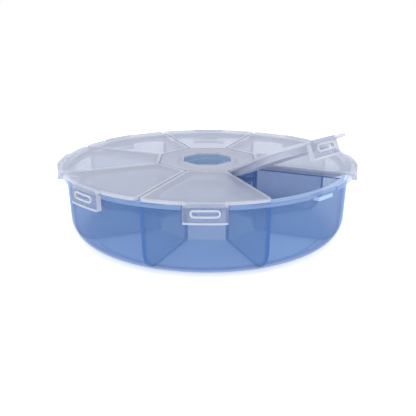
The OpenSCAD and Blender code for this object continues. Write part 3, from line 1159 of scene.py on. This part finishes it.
@dataclass
class HingeFilms:
    """The living hinges: thin films between the hub and the flaps, and the flaps and the latches."""

    shop: Workshop

    def section(self, before: float, after: float, bend: float) -> Outline:
        """Section of a film that starts before its axis, bends by an angle and runs on.

        Args:
            before: Where it starts, in millimetres before the axis.
            after: Where it ends after the axis.
            bend: The bend in degrees, upwards where positive.

        Returns:
            The closed section in X and Z, about the axis.
        """
        t = self.shop.sizes.film_t / 2
        if not bend:
            line = [-before + (before + after) * i / FILM_STEPS for i in range(FILM_STEPS + 1)]
            return [(x, -t) for x in line] + [(x, t) for x in reversed(line)]
        way, whole = math.copysign(1.0, bend), math.radians(abs(bend))
        r = before / math.tan(whole / 2)
        turns = [whole * i / FILM_STEPS for i in range(FILM_STEPS + 1)]
        outer = [(-before + (r + t) * math.sin(a), way * (r - (r + t) * math.cos(a))) for a in turns]
        inner = [(-before + (r - t) * math.sin(a), way * (r - (r - t) * math.cos(a))) for a in turns[::-1]]
        end = Vector((after * math.cos(whole), way * after * math.sin(whole)))
        side = Vector((math.sin(whole) * t, -way * math.cos(whole) * t))
        return outer + [tuple(end + side), tuple(end - side)] + inner

    def point(self, number: int, x: float, z: float, lifted: bool) -> tuple[float, float, float]:
        """Place of a point of the closed lid's +X flap on another flap at rest, in metres."""
        s = self.shop.sizes
        lift = math.radians(s.lift(number) if lifted else 0.0)
        turn = math.radians(s.direction(number))
        dx, dz = x - s.flap_axis_x, z - s.axis_z
        r = s.flap_axis_x + dx * math.cos(lift) - dz * math.sin(lift)
        height = s.axis_z + dx * math.sin(lift) + dz * math.cos(lift)
        return r * math.cos(turn) * MM, r * math.sin(turn) * MM, height * MM

    def build(self) -> None:
        """Builds the films, each bent to meet the two bodies that it joins."""
        s = self.shop.sizes
        reach = s.flap_film_w / 2
        drop = s.latch_film_h - s.film_t / 2
        flap_l = 2 * (s.flap_axis_x - s.flap_film_w) * math.tan(s.half) - s.seam_gap
        latch_l = s.latch_w - 2 * s.cheek_t
        for k in s.numbers():
            film = across("film_pattern", self.section(reach, reach, s.lift(k)), flap_l)
            film.data.transform(Matrix.Translation((s.flap_axis_x, 0.0, s.axis_z)))
            self.joined(film, "flap", k, False,
                        self.point(k, s.flap_axis_x - reach, s.axis_z, False),
                        self.point(k, s.flap_axis_x + reach, s.axis_z, True))
            film = across("film_pattern", self.section(s.latch_bend_r, drop, -90.0), latch_l)
            film.data.transform(Matrix.Translation((s.latch_axis_x, 0.0, s.axis_z)))
            self.joined(film, "latch", k, True,
                        self.point(k, s.latch_axis_x - s.latch_bend_r, s.axis_z, True),
                        self.point(k, s.latch_axis_x, s.axis_z - drop, True))

    def joined(self, film: bpy.types.Object, part: str, number: int, lifted: bool,
               start: Sequence[float], end: Sequence[float]) -> None:
        """Places a film where it meets two bodies, and lets it stand for its CAD node.

        Args:
            film: The film along +X, which is used up.
            part: What it hinges, "flap" or "latch".
            number: The flap's number.
            lifted: Whether it stands open with its flap.
            start, end: Where it leaves the one and reaches the other; not used.
        """
        piece = self.shop.placed(film, f"{part}_film_{number}", Skin.FILM, number, lifted)
        discard(film)
        node = f"{part}_hinge_{number}"
        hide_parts(node)
        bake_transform(piece)
        report(piece, node)


# ---------------------------------------------------------------- studio


@dataclass(frozen=True)
class Lamp:
    """A square soft light that faces the case, in metres and watts."""

    name: str
    place: tuple[float, float, float]
    size: float
    power: float

    def build(self, aim: Vector) -> None:
        """Hangs the light in its place and turns it to the aim."""
        data = bpy.data.lights.new(self.name, "AREA")
        data.size, data.energy = self.size, self.power
        lamp = bpy.data.objects.new(self.name, data)
        bpy.context.scene.collection.objects.link(lamp)
        lamp.location = self.place
        lamp.rotation_euler = (aim - Vector(self.place)).to_track_quat("-Z", "Y").to_euler()


@dataclass(frozen=True)
class Studio:
    """A pale floor, soft lights and the camera.

    Attributes:
        lens, sensor: The camera's focal length and sensor width, in millimetres.
        camera_at: Its place before it is turned by the heading, in millimetres.
        pitch, heading: How far it looks down and is turned about the case, in degrees.
        near: How near it begins to see, in metres.
        floor_half, floor_z: Half the floor's width and its height, in metres, just under the case.
        paper, paper_rough, paper_glow: The floor's grey, its roughness and its own light.
        world_light: Strength of the light from all round.
        aim_z: Height that the lamps face, in metres.
        lamps: The lamps.
    """

    lens: float = 54.55
    sensor: float = 36.0
    camera_at: tuple[float, float, float] = (0.2525, -215.76, 78.6)
    pitch: float = 18.5
    heading: float = 0.5585
    near: float = 0.005
    floor_half: float = 3.0
    floor_z: float = -0.00008
    paper: float = 0.95
    paper_rough: float = 0.9
    paper_glow: float = 0.45
    world_light: float = 1.0
    aim_z: float = 0.01
    lamps: tuple[Lamp, ...] = (Lamp("key", (-0.35, -0.45, 0.75), 0.8, 1.2),
                               Lamp("fill", (0.55, -0.2, 0.5), 0.7, 0.4),
                               Lamp("back", (0.1, 0.7, 0.6), 0.9, 0.8))

    def build(self) -> None:
        """Builds the floor, the world, the lights and the camera."""
        bpy.context.scene.view_settings.view_transform = "Standard"
        self.floor()
        world = bpy.data.worlds.new("Studio")
        world.use_nodes = True
        world.node_tree.nodes["Background"].inputs["Color"].default_value = (1.0, 1.0, 1.0, 1.0)
        world.node_tree.nodes["Background"].inputs["Strength"].default_value = self.world_light
        bpy.context.scene.world = world
        for lamp in self.lamps:
            lamp.build(Vector((0.0, 0.0, self.aim_z)))
        self.camera()

    def floor(self) -> None:
        """Lays the floor and stages it."""
        reach, z = self.floor_half, self.floor_z
        floor = new_object("studio_floor", [(-reach, -reach, z), (reach, -reach, z), (reach, reach, z),
                                            (-reach, reach, z)], [(0, 1, 2, 3)])
        paper = bpy.data.materials.new("Studio paper")
        paper.use_nodes = True
        inputs = paper.node_tree.nodes["Principled BSDF"].inputs
        inputs["Base Color"].default_value = (self.paper, self.paper, self.paper, 1.0)
        inputs["Roughness"].default_value = self.paper_rough
        inputs["Emission Color"].default_value = (1.0, 1.0, 1.0, 1.0)
        inputs["Emission Strength"].default_value = self.paper_glow
        floor.data.materials.append(paper)

    def camera(self) -> None:
        """Sets up the camera and makes it the scene's."""
        camera = bpy.data.objects.new("camera", bpy.data.cameras.new("camera"))
        bpy.context.scene.collection.objects.link(camera)
        camera.data.lens = self.lens
        camera.data.sensor_width = self.sensor
        camera.data.clip_start = self.near
        turn = math.radians(self.heading)
        camera.location = Matrix.Rotation(turn, 4, "Z") @ (Vector(self.camera_at) * MM)
        camera.rotation_euler = (math.radians(90.0 - self.pitch), 0.0, turn)
        bpy.context.scene.camera = camera


def main() -> None:
    """Builds the case from its mouldings, then the studio, and reports each piece."""
    logging.basicConfig(level=logging.INFO, format="%(name)s: %(message)s", stream=sys.stdout)
    shop = Workshop(CaseSizes())
    Tray(shop).build()
    LidHub(shop).build()
    Flaps(shop).build()
    Latches(shop).build()
    HingeFilms(shop).build()
    Studio().build()


if __name__ == "__main__":
    main()
